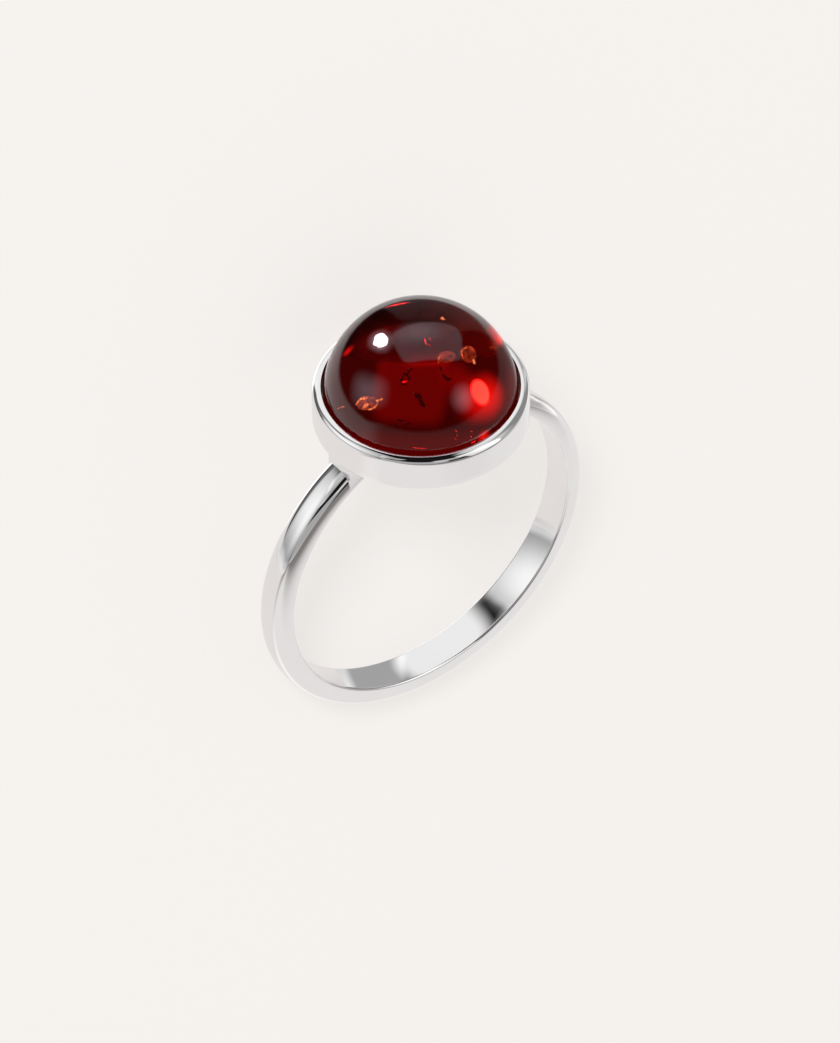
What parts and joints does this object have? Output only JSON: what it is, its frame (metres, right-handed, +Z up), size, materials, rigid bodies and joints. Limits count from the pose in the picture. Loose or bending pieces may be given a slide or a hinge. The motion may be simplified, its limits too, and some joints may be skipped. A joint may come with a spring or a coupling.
{
  "type": "amber ring",
  "caption": "Finger ring with a plain half-round silver band and a round high-domed dark red amber cabochon in a smooth bezel cup.",
  "frame": {"origin": "on the floor, under the middle of the ring as it lies on its side", "axes": "+Z up; +X along the floor from the back of the band to the stone, the ring's longest extent; the finger hole's axis leans about 14 degrees from +Z towards -X"},
  "size_m": [0.0248, 0.0196, 0.011],
  "materials": {
    "silver": "mirror-polished sterling silver",
    "amber": "polished, see-through dark cherry red"
  },
  "bodies": {
    "root": {"band_and_bezel": "silver", "amber_cabochon": "amber"}
  },
  "joints": []
}
